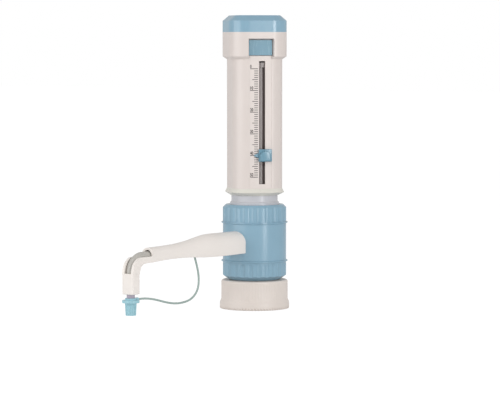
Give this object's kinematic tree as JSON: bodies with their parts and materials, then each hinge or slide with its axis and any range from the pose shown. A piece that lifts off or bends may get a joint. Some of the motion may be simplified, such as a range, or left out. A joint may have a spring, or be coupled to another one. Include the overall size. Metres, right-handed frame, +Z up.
{
  "type": "bottle-top dispenser",
  "caption": "Bottle-top dispenser: a lifted shroud draws a set volume into a cylinder and pushes it out of a long side spout with a capped nozzle.",
  "frame": {"origin": "centre of the collar's open lower end, on the axis of the bottle's thread", "axes": "+Z up along the axis of the thread and the cylinder, the spout points along -X, and the scale faces between -X and -Y"},
  "size_m": [0.1873, 0.055, 0.2312],
  "materials": {
    "collar_plastic": "satin",
    "inner_plastic": "satin",
    "gasket_rubber": "matt",
    "blue_plastic": "satin",
    "ball_glass": "polished",
    "pin_steel": "fine brushed",
    "cylinder_glass": "polished",
    "sleeve_plastic": "satin",
    "shroud_plastic": "satin",
    "lip_plastic": "satin",
    "tile_plastic": "satin",
    "spout_plastic": "satin",
    "nozzle_plastic": "satin",
    "nozzle_cap_plastic": "satin",
    "tether_plastic": "satin"
  },
  "bodies": {
    "collar": {"bottle_collar": "collar_plastic"},
    "valve": {"base_adapter": "inner_plastic", "bottle_gasket": "gasket_rubber", "lower_ring": "blue_plastic", "valve_housing": "blue_plastic", "valve_core": "inner_plastic", "intake_valve": "inner_plastic", "ball_stop_pin": "pin_steel", "discharge_plug": "inner_plastic", "upper_ring": "blue_plastic", "cylinder_seal": "gasket_rubber", "glass_cylinder": "cylinder_glass", "sleeve": "sleeve_plastic", "discharge_cover": "spout_plastic", "discharge_tube": "nozzle_plastic", "cap_tether": "tether_plastic"},
    "intake_ball": {"intake_ball": "ball_glass"},
    "discharge_ball": {"discharge_ball": "ball_glass"},
    "piston": {"piston_head": "inner_plastic", "piston_seals": "inner_plastic", "piston_rod": "inner_plastic", "rod_washer": "pin_steel", "rod_screw": "pin_steel"},
    "shroud": {"shroud": "shroud_plastic", "guide_ring": "lip_plastic", "top_cap": "blue_plastic"},
    "calibration_cover": {"calibration_cover": "tile_plastic"},
    "calibration_screw": {"calibration_screw": "pin_steel"},
    "slider": {"volume_slider": "blue_plastic", "slider_lug": "inner_plastic"},
    "nozzle_cap": {"nozzle_cap": "nozzle_cap_plastic"}
  },
  "joints": [
    {"name": "collar_swivel", "type": "hinge", "parent": "collar", "child": "valve", "pos_m": [0, 0, 0.0175], "axis": [0, 0, 1], "continuous": true},
    {"name": "piston_lift", "type": "slide", "parent": "valve", "child": "piston", "axis": [0, 0, 1], "range_m": [0, 0.0678]},
    {"name": "shroud_turn", "type": "hinge", "parent": "piston", "child": "shroud", "pos_m": [0, 0, 0.196], "axis": [0, 0, 1], "continuous": true},
    {"name": "volume_slide", "type": "slide", "parent": "shroud", "child": "slider", "axis": [0, 0, 1], "range_m": [-0.01696, 0.0678]},
    {"name": "calibration_cover_pull", "type": "slide", "parent": "shroud", "child": "calibration_cover", "axis": [-0.632, -0.7749, 0], "range_m": [0, 0.006]},
    {"name": "calibration_turn", "type": "hinge", "parent": "shroud", "child": "calibration_screw", "pos_m": [-0.00822, -0.01007, 0.2059], "axis": [-0.632, -0.7749, 0], "range_deg": [-180, 180]},
    {"name": "intake_ball_lift", "type": "slide", "parent": "valve", "child": "intake_ball", "axis": [0, 0, 1], "range_m": [0, 0.002]},
    {"name": "discharge_ball_lift", "type": "slide", "parent": "valve", "child": "discharge_ball", "axis": [0, 0, 1], "range_m": [0, 0.002]},
    {"name": "nozzle_cap_pull", "type": "slide", "parent": "valve", "child": "nozzle_cap", "axis": [0, 0, -1], "range_m": [0, 0.012]}
  ]
}
